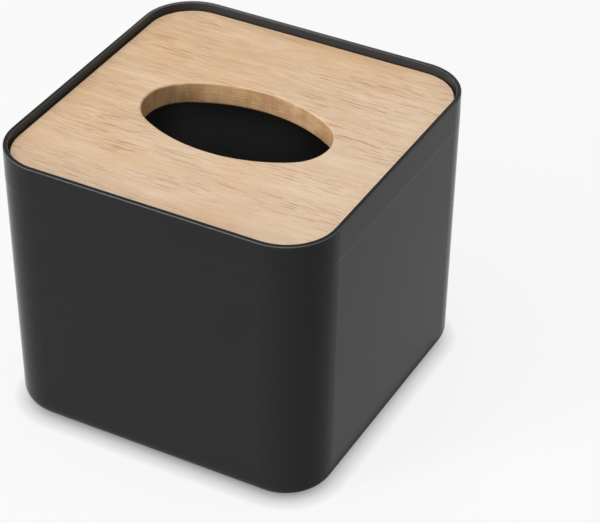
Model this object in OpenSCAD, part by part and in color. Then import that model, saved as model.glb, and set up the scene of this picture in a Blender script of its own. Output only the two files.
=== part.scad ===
// Square tissue box with a lift-off wooden lid.
// Millimetres, +Z up. The origin lies on the table, in the middle under the box,
// and the long way of the lid's oval opening runs along X.

/* [Box] */
// Outer width across the rim
box_w = 110; // [95:1:140]
// Outer depth across the rim
box_d = 110; // [95:1:140]
// Height from the table to the top of the rim
box_h = 95; // [80:1:130]
// Plan radius of the upright corners at the rim
corner_r = 17; // [15:0.5:22]
// Radius of the rolled edge round the foot
foot_r = 5.5; // [4:0.5:8]
// How far each outer wall leans in from the rim down to the foot
wall_draft = 1.2; // [0.5:0.1:2]
// Thickness of the floor
floor_t = 3; // [2.6:0.1:4]
// Radius of the inside edge between floor and wall
floor_r = 4; // [2:0.5:6]
// How far each inner wall leans in from the ledge down to the floor
inner_draft = 0.5; // [0.2:0.1:1]

/* [Rim and ledge] */
// Thickness of the rim wall beside the lid
rim_t = 1.5; // [1.2:0.1:2]
// How far the rim stands above the lid
rim_rise = 2.4; // [1:0.1:3]
// Radius that eases the outer top edge of the rim
rim_ease = 0.4; // [0.2:0.05:0.6]
// Radius that eases the inner top edge of the rim
rim_inner_ease = 0.2; // [0.1:0.05:0.4]
// How far the wall steps in at the mould's witness line
witness_step = 0.06; // [0.04:0.02:0.2]
// Height of the slope that makes this step
witness_h = 1; // [0.6:0.1:1.6]
// How far the line's middle lies below the ledge
witness_drop = 1; // [0:0.2:3]
// Width of the ledge that bears the lid
ledge_w = 1.5; // [1.2:0.1:2.2]
// Radius that eases the inner edge of the ledge
ledge_ease = 0.5; // [0.3:0.1:0.8]

/* [Lid] */
// Thickness of the wooden lid
lid_t = 7.5; // [6:0.5:9]
// Clearance all round between the lid and the rim
lid_gap = 0.6; // [0.4:0.1:0.9]
// Radius of the lid's eased top edge
lid_ease = 0.5; // [0.3:0.1:1.2]
// Radius of the lid's eased bottom edge
lid_under_ease = 0.6; // [0.3:0.1:1]
// Length of the oval opening
oval_l = 62.4; // [56:0.4:70]
// Width of the oval opening
oval_w = 36.8; // [32:0.4:42]
// Radius of the oval's two ends
oval_end_r = 13.5; // [11:0.5:15]
// Radius of the eased edges of the opening
oval_ease = 0.7; // [0.4:0.1:1.2]

/* [Underside] */
// Diameter of a round anti-slip pad
pad_d = 10; // [8:0.5:12]
// Thickness of a pad
pad_t = 1.8; // [1.4:0.1:2]
// How far a pad stands out of its seat
pad_proud = 0.6; // [0.4:0.1:0.9]
// Clearance round a pad in its seat
pad_gap = 0.15; // [0.1:0.05:0.25]
// Width of the bevel round a pad's tread
pad_bevel = 0.3; // [0.1:0.05:0.35]
// Distance from the rim's outer faces to the middle of a pad
pad_inset = 19; // [18:0.5:23]
// Depth of the relieved middle of the underside
relief_h = 0.6; // [0.4:0.1:1]
// Plan radius of the relieved middle's corners
relief_r = 8; // [5:0.5:10]
// Distance from a pad's seat to the relieved middle
relief_margin = 3.5; // [2.5:0.5:5]
// Diameter of the moulding gate's dimple
gate_d = 7; // [5:0.5:9]
// Depth of the gate's dimple
gate_h = 0.5; // [0.3:0.1:0.7]
// Diameter of the gate's trimmed stub
gate_stub_d = 2; // [1.5:0.1:2.5]

/* [Hidden] */
$fn = 96;
// Extra length that carries every cut past the face it opens
overrun = 0.5;
// Height of the underside's standing ring above the table
base_z = pad_proud;
floor_z = base_z + floor_t;
// Lid's underside and the ledge that bears it
ledge_z = box_h - rim_rise - lid_t;
lid_z = ledge_z + lid_t;
// Where the slope of the witness line starts and ends
slope_low_z = ledge_z - witness_drop - witness_h / 2;
slope_high_z = slope_low_z + witness_h;
// Upright corner centres, shared by every rounded outline
core_x = box_w / 2 - corner_r;
core_y = box_d / 2 - corner_r;
// Radii round those centres
wall_top_r = corner_r - witness_step;
wall_foot_r = wall_top_r - wall_draft;
pocket_r = corner_r - rim_t;
lid_r = pocket_r - lid_gap;
ledge_r = lid_r - ledge_w;
cavity_foot_r = ledge_r - inner_draft;
// Four-arc oval: centres of the end arcs and of the long side arcs, and the arm between
// those centres, taken to the nearest micrometre so that the arcs meet without a step
end_c = oval_l / 2 - oval_end_r;
side_r = (end_c * end_c + oval_w * oval_w / 4 - oval_end_r * oval_end_r)
       / (oval_w - 2 * oval_end_r);
side_arm = round((side_r - oval_end_r) * 1000) / 1000;
// Half of the angle that each long side arc takes
side_a = asin(end_c / side_arm);
// Angle by which each arc runs past its quarter
spare_a = 5;
// Pads
pad_x = box_w / 2 - pad_inset;
pad_y = box_d / 2 - pad_inset;
seat_r = pad_d / 2 + pad_gap;
relief_x = pad_x - seat_r - relief_margin;
relief_y = pad_y - seat_r - relief_margin;

// Carries a section round a rounded rectangle. The section's x is measured outward from the
// corner centres (cx, cy), so straight sides and turned corners meet face to face; z_low and
// z_high are its lowest and highest points at x = 0, where the middle block closes it.
module carried(cx, cy, z_low, z_high) {
    for (turn = [0, 180]) rotate([0, 0, turn]) {
        translate([cx, cy, 0]) rotate_extrude(angle = 90) children();
        translate([-cx, cy, 0]) rotate([0, 0, 90]) rotate_extrude(angle = 90) children();
        translate([cx, cy, 0]) rotate([90, 0, 0]) linear_extrude(height = 2 * cy) children();
        translate([-cx, cy, 0]) rotate([0, 0, 90]) rotate([90, 0, 0])
            linear_extrude(height = 2 * cx) children();
    }
    translate([-cx, -cy, z_low]) cube([2 * cx, 2 * cy, z_high - z_low]);
}

// Quarter of a disc: fills the corner between two straight edges that end at its arc.
// dx and dy are 1 or -1 and point from the arc's centre to the quarter.
module quarter(cx, cz, r, dx, dy) {
    translate([cx, cz]) intersection() {
        circle(r = r);
        mirror([dx < 0 ? 1 : 0, 0]) mirror([0, dy < 0 ? 1 : 0]) square(r);
    }
}

// Outer form of the box: rolled foot, leaning wall, witness line, upright band, eased rim
module shell_section() {
    polygon([
        [0, base_z],
        [wall_foot_r - foot_r, base_z],
        [wall_foot_r - foot_r, base_z + foot_r],
        [wall_foot_r, base_z + foot_r],
        [wall_top_r, slope_low_z],
        [corner_r, slope_high_z],
        [corner_r, box_h - rim_ease],
        [corner_r - rim_ease, box_h - rim_ease],
        [corner_r - rim_ease, box_h],
        [0, box_h]
    ]);
    quarter(wall_foot_r - foot_r, base_z + foot_r, foot_r, 1, -1);
    quarter(corner_r - rim_ease, box_h - rim_ease, rim_ease, 1, 1);
}

// Everything that is open inside: the tissue space up to the ledge and the lid's pocket above it
module hollow_section() {
    difference() {
        union() {
            polygon([
                [0, floor_z],
                [cavity_foot_r - floor_r, floor_z],
                [cavity_foot_r - floor_r, floor_z + floor_r],
                [cavity_foot_r, floor_z + floor_r],
                [ledge_r, ledge_z - ledge_ease],
                [ledge_r + ledge_ease, ledge_z - ledge_ease],
                [ledge_r + ledge_ease, ledge_z],
                [pocket_r, ledge_z],
                [pocket_r, box_h - rim_inner_ease],
                [pocket_r + rim_inner_ease, box_h - rim_inner_ease],
                [pocket_r + rim_inner_ease, box_h + overrun],
                [0, box_h + overrun]
            ]);
            quarter(cavity_foot_r - floor_r, floor_z + floor_r, floor_r, 1, -1);
        }
        translate([ledge_r + ledge_ease, ledge_z - ledge_ease]) circle(r = ledge_ease);
        translate([pocket_r + rim_inner_ease, box_h - rim_inner_ease]) circle(r = rim_inner_ease);
    }
}

// Lid's outer edge, eased above and below
module lid_section() {
    polygon([
        [0, ledge_z],
        [lid_r - lid_under_ease, ledge_z],
        [lid_r - lid_under_ease, ledge_z + lid_under_ease],
        [lid_r, ledge_z + lid_under_ease],
        [lid_r, lid_z - lid_ease],
        [lid_r - lid_ease, lid_z - lid_ease],
        [lid_r - lid_ease, lid_z],
        [0, lid_z]
    ]);
    quarter(lid_r - lid_under_ease, ledge_z + lid_under_ease, lid_under_ease, 1, -1);
    quarter(lid_r - lid_ease, lid_z - lid_ease, lid_ease, 1, 1);
}

// Section of the cut that leaves an opening with both edges eased: it reaches out to
// radius r and opens wider by the easing at the lid's two faces
module eased_cut(r) {
    difference() {
        polygon([
            [0, ledge_z - overrun],
            [r + oval_ease, ledge_z - overrun],
            [r + oval_ease, ledge_z + oval_ease],
            [r, ledge_z + oval_ease],
            [r, lid_z - oval_ease],
            [r + oval_ease, lid_z - oval_ease],
            [r + oval_ease, lid_z + overrun],
            [0, lid_z + overrun]
        ]);
        for (z = [ledge_z + oval_ease, lid_z - oval_ease])
            translate([r + oval_ease, z]) circle(r = oval_ease);
    }
}

// One quarter of the oval opening. Its end arc and its long side arc meet tangent on the line
// through both centres; both start on that line and run a little past the quarter, which the
// box then trims at the oval's two middle planes.
module oval_quarter() {
    intersection() {
        translate([end_c, 0, 0]) rotate([0, 0, 90 - side_a]) {
            mirror([0, 1, 0]) rotate_extrude(angle = 90 - side_a + spare_a) eased_cut(oval_end_r);
            translate([-side_arm, 0, 0]) rotate_extrude(angle = side_a + spare_a)
                eased_cut(side_arm + oval_end_r);
        }
        translate([0, 0, ledge_z - 2 * overrun]) cube([oval_l, oval_w, lid_t + 4 * overrun]);
    }
}

// Moulded box: one shell with its ledge, relieved underside, pad seats and gate mark
module box_body() {
    color([0.2, 0.2, 0.205])
    difference() {
        carried(core_x, core_y, base_z, box_h) shell_section();
        carried(core_x, core_y, floor_z, box_h + overrun) hollow_section();
        // relieved middle, so that the box stands on its outer ring and pads
        translate([0, 0, base_z - overrun]) linear_extrude(height = relief_h + overrun)
            rounded_plate(relief_x, relief_y, relief_r);
        // dimple with the trimmed stub of the gate left in it
        translate([0, 0, base_z + relief_h - overrun]) difference() {
            cylinder(d = gate_d, h = gate_h + overrun);
            cylinder(d = gate_stub_d, h = gate_h + overrun);
        }
        for (sx = [-1, 1], sy = [-1, 1])
            translate([sx * pad_x, sy * pad_y, base_z - overrun])
                cylinder(r = seat_r, h = pad_t - pad_proud + overrun);
    }
}

// Rounded rectangle with half sides hx and hy, from two bars and four discs
module rounded_plate(hx, hy, r) {
    square([2 * hx, 2 * (hy - r)], center = true);
    square([2 * (hx - r), 2 * hy], center = true);
    for (sx = [-1, 1], sy = [-1, 1]) translate([sx * (hx - r), sy * (hy - r)]) circle(r = r);
}

// Wooden lid, cut from one board
module wood_lid() {
    color([0.86, 0.74, 0.61])
    difference() {
        carried(core_x, core_y, ledge_z, lid_z) lid_section();
        for (mx = [0, 1], my = [0, 1]) mirror([mx, 0, 0]) mirror([0, my, 0]) oval_quarter();
    }
}

// Soft round pad, pressed into its seat with the bevelled tread down
module pad(sx, sy) {
    color([0.13, 0.13, 0.13])
    translate([sx * pad_x, sy * pad_y, 0]) rotate_extrude() polygon([
        [0, 0],
        [pad_d / 2 - pad_bevel, 0],
        [pad_d / 2, pad_bevel],
        [pad_d / 2, pad_t],
        [0, pad_t]
    ]);
}
module pad_front_left() { pad(-1, -1); }
module pad_front_right() { pad(1, -1); }
module pad_back_left() { pad(-1, 1); }
module pad_back_right() { pad(1, 1); }

box_body();
wood_lid();
pad_front_left();
pad_front_right();
pad_back_left();
pad_back_right();
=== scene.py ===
import math
import bpy
import numpy as np
from mathutils import Matrix, Vector


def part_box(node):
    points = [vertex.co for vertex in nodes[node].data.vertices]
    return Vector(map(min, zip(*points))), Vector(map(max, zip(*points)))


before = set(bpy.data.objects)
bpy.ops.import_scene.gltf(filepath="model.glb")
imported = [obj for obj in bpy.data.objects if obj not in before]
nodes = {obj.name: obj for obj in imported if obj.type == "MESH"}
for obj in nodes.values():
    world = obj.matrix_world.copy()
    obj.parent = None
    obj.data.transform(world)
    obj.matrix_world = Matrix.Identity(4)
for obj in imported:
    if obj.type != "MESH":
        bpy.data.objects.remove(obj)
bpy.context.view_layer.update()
mm = 0.001
print("stage: frame loaded")


# camera: the photograph's own point of view, with no shift
photoView = {
    "aim": (0.0, 0.0, 47.5),      # mm, the box's middle
    "azimuth": 29.9171,           # degrees round the box, from -Y towards +X
    "elevation": 35.4856,
    "distance": 743.53,           # mm
    "focalPx": 2384.51,           # focal length in pixels of a 600 px wide frame
    "yaw": -1.4956,               # the photograph's middle isn't the box's middle
    "pitch": -0.4499,
    "roll": -0.6,
    "frameWidthPx": 600.0,
    "sensorWidth": 36.0,          # mm
    "clip": (0.01, 50.0),         # m
}


def direction(azimuth, elevation):  # the unit vector that points that way from the box
    a, e = math.radians(azimuth), math.radians(elevation)
    return Vector((math.sin(a) * math.cos(e), -math.cos(a) * math.cos(e), math.sin(e)))


def makeCamera(v):
    back = direction(v["azimuth"], v["elevation"])
    side = Vector((0.0, 0.0, 1.0)).cross(back).normalized()
    look = Matrix((side, back.cross(side), back)).transposed()
    turn = (Matrix.Rotation(math.radians(v["yaw"]), 3, "Y")
            @ Matrix.Rotation(math.radians(v["pitch"]), 3, "X")
            @ Matrix.Rotation(math.radians(v["roll"]), 3, "Z"))
    place = (look @ turn).to_4x4()
    place.translation = (Vector(v["aim"]) + back * v["distance"]) * mm
    data = bpy.data.cameras.new("photoCamera")
    data.sensor_width = v["sensorWidth"]
    data.lens = v["focalPx"] * data.sensor_width / v["frameWidthPx"]
    data.clip_start, data.clip_end = v["clip"]
    cam = bpy.data.objects.new("photoCamera", data)
    cam.matrix_world = place
    bpy.context.scene.collection.objects.link(cam)
    bpy.context.scene.camera = cam


makeCamera(photoView)
print("stage: camera set")


# shader maths: a socket that can be added, multiplied and so on
class Socket:
    def __init__(self, graph, out):
        self.graph, self.out = graph, out

    def maths(self, operation, *values):
        return self.graph.node("ShaderNodeMath", {"operation": operation},
                               dict(enumerate((self, *values))))

    def __add__(self, other): return self.maths("ADD", other)
    def __radd__(self, other): return self.maths("ADD", other)
    def __sub__(self, other): return self.maths("SUBTRACT", other)
    def __rsub__(self, other): return self.maths("MULTIPLY_ADD", -1.0, other)
    def __mul__(self, other): return self.maths("MULTIPLY", other)
    def __rmul__(self, other): return self.maths("MULTIPLY", other)
    def __pow__(self, other): return self.maths("POWER", other)
    def __neg__(self): return self.maths("MULTIPLY", -1.0)

    def absolute(self): return self.maths("ABSOLUTE")
    def most(self, other): return self.maths("MAXIMUM", other)

    def between(self, low, high):  # smooth step from 0 at low to 1 at high
        return self.graph.node("ShaderNodeMapRange", {"interpolation_type": "SMOOTHSTEP"},
                               {"Value": self, "From Min": low, "From Max": high})


class Graph:
    def __init__(self, owner):  # a material or the world
        self.owner = owner
        owner.use_nodes = True
        self.tree = owner.node_tree
        self.tree.nodes.clear()

    def node(self, kind, settings, inputs, output=0):
        made = self.tree.nodes.new(kind)
        for key, value in settings.items():
            if key == "stops":
                ramp = made.color_ramp
                for spare in list(ramp.elements)[1:-1]:
                    ramp.elements.remove(spare)
                ends = (ramp.elements[0], ramp.elements[1])
                for point, (at, colour) in zip(ends, (value[0], value[-1])):
                    point.position, point.color = at, colour
                for at, colour in value[1:-1]:
                    ramp.elements.new(at).color = colour
            else:
                setattr(made, key, value)
        for key, value in inputs.items():
            if isinstance(value, Socket):
                self.tree.links.new(value.out, made.inputs[key])
            else:
                made.inputs[key].default_value = value
        return None if output is None else Socket(self, made.outputs[output])

    def place(self):  # the point on the object, in metres
        return self.node("ShaderNodeTexCoord", {}, {}, "Object")

    def facing(self):  # the way that the surface faces, as three parts
        return self.split(self.node("ShaderNodeTexCoord", {}, {}, "Normal"))

    def split(self, vector):
        parts = self.node("ShaderNodeSeparateXYZ", {}, {"Vector": vector})
        return [Socket(self, o) for o in parts.out.node.outputs]

    def join(self, x, y, z):
        return self.node("ShaderNodeCombineXYZ", {}, {"X": x, "Y": y, "Z": z})

    def noise(self, vector, size, detail=2.0, roughness=0.5):  # size in mm
        return self.node("ShaderNodeTexNoise", {}, {
            "Vector": vector, "Scale": 1.0 / (size * mm), "Detail": detail, "Roughness": roughness})

    def mix(self, factor, first, second):  # colours
        return self.node("ShaderNodeMix", {"data_type": "RGBA"},
                         {0: factor, 6: first, 7: second}, 2)

    def bump(self, height, strength, depth):  # depth in mm
        return self.node("ShaderNodeBump", {}, {"Height": height, "Strength": strength,
                                                "Distance": depth * mm})

    def rays(self, kind):
        return self.node("ShaderNodeLightPath", {}, {}, "Is %s Ray" % kind)

    def mirrored(self):  # 1 for rays that the object mirrors or lets through
        return self.rays("Glossy").most(self.rays("Transmission"))

    def surface(self, inputs):
        return self.node("ShaderNodeBsdfPrincipled", {}, inputs)

    def done(self, shader):
        kind = "World" if isinstance(self.owner, bpy.types.World) else "Material"
        self.node("ShaderNodeOutput" + kind, {}, {"Surface": shader}, None)
        return self.owner


def newGraph(name):
    return Graph(bpy.data.materials.new(name))


def linear(colour, shade=1.0):  # a colour as a picture shows it, 0 to 255, to the shader's values
    c = np.array(colour) * shade / 255.0
    lin = np.where(c <= 0.04045, c / 12.92, ((c + 0.055) / 1.055) ** 2.4)
    return (*[float(x) for x in lin], 1.0)


# moulded charcoal plastic of the tub
plastic = {
    "colour": (40, 40, 40),
    "paintedInnerLight": (61, 60, 60),               # inner faces, painted lighter: painted light standing in for the lit lid they face
    "inside": (110, 110, 110),          # below the ledge, painted much lighter: painted fill light in the shaded tub
    "edge": (92, 92, 92),               # the rim's rounded top edges, painted lighter as a highlight
    "inwardReach": (5.0, 20.0),         # mm from the middle, along the face's way, of inner faces
    "ledgeBlend": 0.4,                  # mm under the ledge where the painted fill light starts
    "floorTilt": (0.1, 0.4),            # how far a face looks up where the painted fill light on the tub's floor starts
    "edgeTilt": (0.3, 0.5),             # the same where an eased edge starts
    "topTilt": (0.85, 0.97),            # and where it ends
    "roughness": 0.16,
    "gloss": 0.09,                      # specular level
    "grainSize": 0.35,                  # mm, the mould's fine grain
    "grainDepth": 0.012,                # mm
    "grainStrength": 0.2,
    "grainRoughness": 0.10,             # how much the grain varies the roughness
    "cloudSize": 30.0,                  # mm, broad faint clouds
    "cloudShade": 0.96,
    "cloudRoughness": 0.05,
}


def makePlastic(p, ledge):
    g = newGraph("charcoalPlastic")
    at = g.place()
    grain = g.noise(at, p["grainSize"], 3.0, 0.6)
    cloud = g.noise(at, p["cloudSize"])
    x, y, z = g.split(at)
    nx, ny, nz = g.facing()
    near, far = p["inwardReach"]
    inward = (-(nx * x + ny * y)).between(near * mm, far * mm)
    # rounded up-facing edges, which get a painted highlight
    eased = nz.between(*p["edgeTilt"]) - nz.between(*p["topTilt"])
    # painted fill light below the ledge, in the shaded tub
    below = 1.0 - z.between(ledge - p["ledgeBlend"] * mm, ledge)
    inside = inward.most(nz.between(*p["floorTilt"])) * below
    colour = g.mix(cloud, linear(p["colour"], p["cloudShade"]), linear(p["colour"]))
    # painted light: inner faces lighter than the outside, for the lit lid they face
    colour = g.mix(inward, colour, linear(p["paintedInnerLight"]))
    # painted fill light below the ledge, in the shaded tub
    colour = g.mix(inside, colour, linear(p["inside"]))
    # painted highlight on the rim's rounded edges
    colour = g.mix(eased, colour, linear(p["edge"]))
    return g.done(g.surface({
        "Base Color": colour,
        "Roughness": (p["roughness"] + (grain - 0.5) * p["grainRoughness"]
                      + (cloud - 0.5) * p["cloudRoughness"]),
        "Specular IOR Level": p["gloss"],
        "Normal": g.bump(grain, p["grainStrength"], p["grainDepth"]),
    }))


# pale wood of the lid: the grain runs along X
wood = {
    "light": (228, 200, 167),
    "mid": (216, 184, 148),
    "dark": (203, 168, 130),
    "pale": (231, 209, 190),            # paler towards the front right corner
    "warm": (214, 171, 124),            # broad patches of a deeper tone
    "dash": (160, 115, 78),             # the short dark pores
    "cut": (236, 194, 144),             # sawn side grain of the opening and the edges
    "endGrain": (172, 128, 86),
    "eased": (240, 218, 190),           # the board's sanded outer edges, painted lighter as a highlight
    "toneStops": (0.15, 0.5, 0.85),     # tone at which the wood is light, mid and dark
    "waver": (2.4, 50.0),               # mm, how far the grain wanders sideways, over what length
    "ripple": (0.7, 9.0),               # mm, the same for its small waves
    # marks along the grain: width and length in mm, detail, roughness, lowest and highest value
    "bands": (8.0, 90.0, 2.0, 0.5, 0.3, 0.7),
    "streaks": (1.7, 14.0, 3.0, 0.6, 0.3, 0.7),
    "fibres": (0.42, 9.0, 2.0, 0.6, 0.3, 0.7),
    "pits": (0.35, 1.6, 2.0, 0.5, 0.5, 0.75),
    "dashes": (0.32, 8.5, 1.0, 0.5, 0.57, 0.67),
    # rounder patches: size in mm, squeeze and shift in mm along the grain, lowest, highest value
    "dashGroups": (14.0, 0.35, 0.0, 0.38, 0.62),
    "mottle": (3.5, 0.5, 0.0, 0.3, 0.7),
    "warmth": (20.0, 0.6, 30.0, 0.42, 0.65),
    "toneShares": (0.28, 0.28, 0.34, 0.1),    # of bands, streaks, fibres and mottle
    "paleReach": 75.0,                  # mm from the middle where the pale side is whole
    "paleShare": 0.42,
    "warmShare": 0.35,
    "dashShare": 0.65,
    "pitShare": 0.15,
    "cutShare": 0.85,
    "uprightTilt": (0.35, 0.8),         # how far a face looks up or down where sawn faces end
    "easedTilt": (0.3, 0.5),            # the same where an eased edge starts
    "flatTilt": (0.9, 0.99),            # and where it ends
    "outerEdge": (40.0, 48.0),          # mm from the middle where the board's outer edges start
    "easedShare": 0.4,
    "endTilt": (0.3, 0.9),              # how far a face looks along the grain in end grain
    "grainSize": 0.5,                   # mm, lines on the sawn faces
    "raySize": 0.45,                    # mm, upright marks on them
    "stainSize": 5.0,                   # mm, soft stains on them
    "brown": (0.8, 1.4),                # lowest and highest value of their sum
    "brownShare": 0.68,
    "endShare": 0.32,
    "roughness": 0.5,
    "markRoughness": 0.12,              # how much fibres and pores vary the roughness
    "easedRoughness": 0.2,
    "gloss": 0.3,                       # specular level
    "heightShares": (0.4, 0.4, 0.2),    # of fibres, pores and pits
    "depth": 0.05,                      # mm
    "strength": 0.4,
}


def makeWood(w):
    g = newGraph("paleWood")
    x, y, z = g.split(g.place())

    def wandering(kind, detail):  # how far the grain moves sideways, in metres
        width, length = w[kind]
        return (g.noise(g.join(x, y * 1.6, z), length, detail) - 0.5) * (width * 2 * mm)

    waver = wandering("waver", 1.5) + wandering("ripple", 2.0)
    across = y + waver + z * 0.6

    def drawnOut(kind):  # noise drawn out along the grain
        width, length, detail, roughness, low, high = w[kind]
        return g.noise(g.join(x * (width / length), across, z * 0.8), width,
                       detail, roughness).between(low, high)

    def patches(kind, sideways):
        size, squeeze, shift, low, high = w[kind]
        return g.noise(g.join(x * squeeze + shift * mm, sideways, z), size).between(low, high)

    bands, streaks, fibres, pits = (drawnOut(k) for k in ("bands", "streaks", "fibres", "pits"))
    dashes = drawnOut("dashes") * patches("dashGroups", across)
    marks = (bands, streaks, fibres, patches("mottle", y))
    first, second, third, fourth = (m * s for m, s in zip(marks, w["toneShares"]))
    tone = first + second + third + fourth
    stops = zip(w["toneStops"], (linear(w[k]) for k in ("light", "mid", "dark")))
    colour = g.node("ShaderNodeValToRGB", {"stops": list(stops)}, {"Fac": tone})
    pale = (x - y).between(-w["paleReach"] * mm, w["paleReach"] * mm)
    colour = g.mix(pale * w["paleShare"], colour, linear(w["pale"]))
    colour = g.mix(patches("warmth", y) * w["warmShare"], colour, linear(w["warm"]))
    colour = g.mix(dashes * w["dashShare"] + pits * w["pitShare"], colour, linear(w["dash"]))

    nx, ny, nz = g.facing()
    tilt = nz.absolute()
    upright = 1.0 - tilt.between(*w["uprightTilt"])
    colour = g.mix(upright * w["cutShare"], colour, linear(w["cut"]))
    grain = g.noise(g.join(x * 0.06, y * 0.06, z + waver * 0.5), w["grainSize"], 3.0, 0.6)
    stains = g.noise(g.join(x, y, z * 0.6), w["stainSize"])
    rays = g.noise(g.join(x, y, z * 0.1), w["raySize"], 3.0, 0.6)
    ends = nx.absolute().between(*w["endTilt"])
    brown = grain * (1.0 - ends) + rays * (0.4 + ends * 0.6) + stains * 0.9
    brown = brown.between(*w["brown"]) * w["brownShare"] + ends * w["endShare"]
    colour = g.mix(upright * brown, colour, linear(w["endGrain"]))
    start, whole = w["outerEdge"]
    outer = x.absolute().most(y.absolute()).between(start * mm, whole * mm)
    eased = (tilt.between(*w["easedTilt"]) - tilt.between(*w["flatTilt"])) * outer
    # painted highlight on the board's sanded outer edges
    colour = g.mix(eased * w["easedShare"], colour, linear(w["eased"]))
    fibreShare, poreShare, pitShare = w["heightShares"]
    height = fibres * fibreShare + (1.0 - dashes) * poreShare + (1.0 - pits) * pitShare
    return g.done(g.surface({
        "Base Color": colour,
        "Roughness": (w["roughness"] + (fibres - 0.5) * w["markRoughness"]
                      + dashes * w["markRoughness"] - eased * w["easedRoughness"]),
        "Specular IOR Level": w["gloss"],
        "Normal": g.bump(height, w["strength"], w["depth"]),
    }))


# soft pads under the floor
pads = {
    "colour": (34, 34, 35),
    "speckShade": 0.9,
    "speckSize": 0.3,                   # mm
    "speckDepth": 0.02,                 # mm
    "speckStrength": 0.4,
    "speckRoughness": 0.1,
    "roughness": 0.75,
}


def makeRubber(p):
    g = newGraph("padRubber")
    speck = g.noise(g.place(), p["speckSize"])
    return g.done(g.surface({
        "Base Color": g.mix(speck, linear(p["colour"], p["speckShade"]), linear(p["colour"])),
        "Roughness": p["roughness"] + (speck - 0.5) * p["speckRoughness"],
        "Normal": g.bump(speck, p["speckStrength"], p["speckDepth"]),
    }))


def dress(node, material):
    slots = nodes[node].data.materials
    slots.clear()
    slots.append(material)


lidLow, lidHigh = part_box("wood_lid")
dress("box_body", makePlastic(plastic, lidLow[2]))    # the lid lies on the tub's ledge
dress("wood_lid", makeWood(wood))
rubber = makeRubber(pads)
for name in nodes:
    if name.startswith("pad_"):
        dress(name, rubber)
print("stage: materials made")


# studio: pale floor, white surroundings, soft boxes
studio = {
    "floorSize": 6.0,                   # m
    "floorColour": (218, 218, 218),
    "floorRoughness": 0.8,
    "floorGloss": 0.2,                  # specular level
    "floorWhiteness": 0.85,             # share of plain white in what is seen of the floor
    "mirroredWhiteness": 0.68,          # the same for what the object mirrors of it
    "contactReach": 6.0,                # mm, how far the object's contact shadow reaches
    "contactDepth": 0.6,                # how dark that shadow is, 0 for none
    "litDepth": 1.2,                    # the same for what is mirrored, on the side of the light
    "shadedDepth": 4.0,                 # and on the side away from it
    "sideBlend": 25.0,                  # mm from the middle where each side's depth is whole
    "contactSamples": 8,
    "worldStrength": 0.03,
    "wallTop": (26.0, 37.0),            # degrees above the floor where the mirrored walls fade out
    "ceiling": 0.35,                    # how bright the mirrored ceiling above them is
    "lampAim": 50.0,                    # mm above the floor
    "softBoxes": {      # azimuth and elevation round the box, distance and side in m, watts
        "overhead": (345.0, 85.0, 2.0, 1.5, 27.0),
        "frontLeft": (328.0, 14.0, 2.0, 0.7, 21.0),
        "frontKicker": (325.0, 45.0, 2.0, 0.3, 7.0),
        "frontFill": (30.0, 36.0, 2.0, 0.6, 4.5),
        "rightBack": (125.0, 34.0, 2.0, 1.0, 5.0),
        "backStrip": (208.0, 26.0, 2.0, 0.35, 1.6),
    },
}


def makeFloor(s):
    half = s["floorSize"] / 2
    sheet = bpy.data.meshes.new("floor")
    sheet.from_pydata([(-half, -half, 0), (half, -half, 0), (half, half, 0), (-half, half, 0)], [],
                      [(0, 1, 2, 3)])
    floor = bpy.data.objects.new("floor", sheet)
    bpy.context.scene.collection.objects.link(floor)
    g = newGraph("paleFloor")
    lit = g.surface({"Base Color": linear(s["floorColour"]), "Roughness": s["floorRoughness"],
                     "Specular IOR Level": s["floorGloss"]})
    openness = g.node("ShaderNodeAmbientOcclusion", {"samples": s["contactSamples"]},
                      {"Distance": s["contactReach"] * mm}, "AO")
    seen, mirrored = g.rays("Camera"), g.mirrored()
    x, y, z = g.split(g.place())
    away = (x + y).between(-s["sideBlend"] * mm, s["sideBlend"] * mm)
    mirroredDepth = s["litDepth"] + away * (s["shadedDepth"] - s["litDepth"])
    depth = seen * s["contactDepth"] + mirrored * mirroredDepth
    white = g.node("ShaderNodeEmission", {}, {"Color": openness ** depth, "Strength": 1.0})
    share = seen * s["floorWhiteness"] + mirrored * s["mirroredWhiteness"]
    sheet.materials.append(g.done(g.node("ShaderNodeMixShader", {}, {0: share, 1: lit, 2: white})))


def makeWorld(s):  # plain white to the camera, walls and ceiling in reflections, dim otherwise
    g = Graph(bpy.context.scene.world or bpy.data.worlds.new("studio"))
    bpy.context.scene.world = g.owner
    up = g.split(g.node("ShaderNodeTexCoord", {}, {}, "Generated"))[2]
    low, high = (math.sin(math.radians(a)) for a in s["wallTop"])
    walls = 1.0 - up.between(low, high) * (1.0 - s["ceiling"])
    dim = s["worldStrength"]
    strength = dim + g.rays("Camera") * (1.0 - dim) + g.mirrored() * (walls - dim)
    g.done(g.node("ShaderNodeBackground", {}, {"Strength": strength}))


def makeLamps(s):
    for name, (azimuth, elevation, distance, side, watts) in s["softBoxes"].items():
        out = direction(azimuth, elevation)
        data = bpy.data.lights.new(name, "AREA")
        data.shape, data.size, data.energy = "SQUARE", side, watts
        lamp = bpy.data.objects.new(name, data)
        lamp.location = Vector((0, 0, s["lampAim"] * mm)) + out * distance
        lamp.rotation_euler = out.to_track_quat("Z", "Y").to_euler()
        bpy.context.scene.collection.objects.link(lamp)


makeFloor(studio)
makeWorld(studio)
makeLamps(studio)
bpy.context.scene.view_settings.view_transform = "Standard"
print("stage: studio lit")
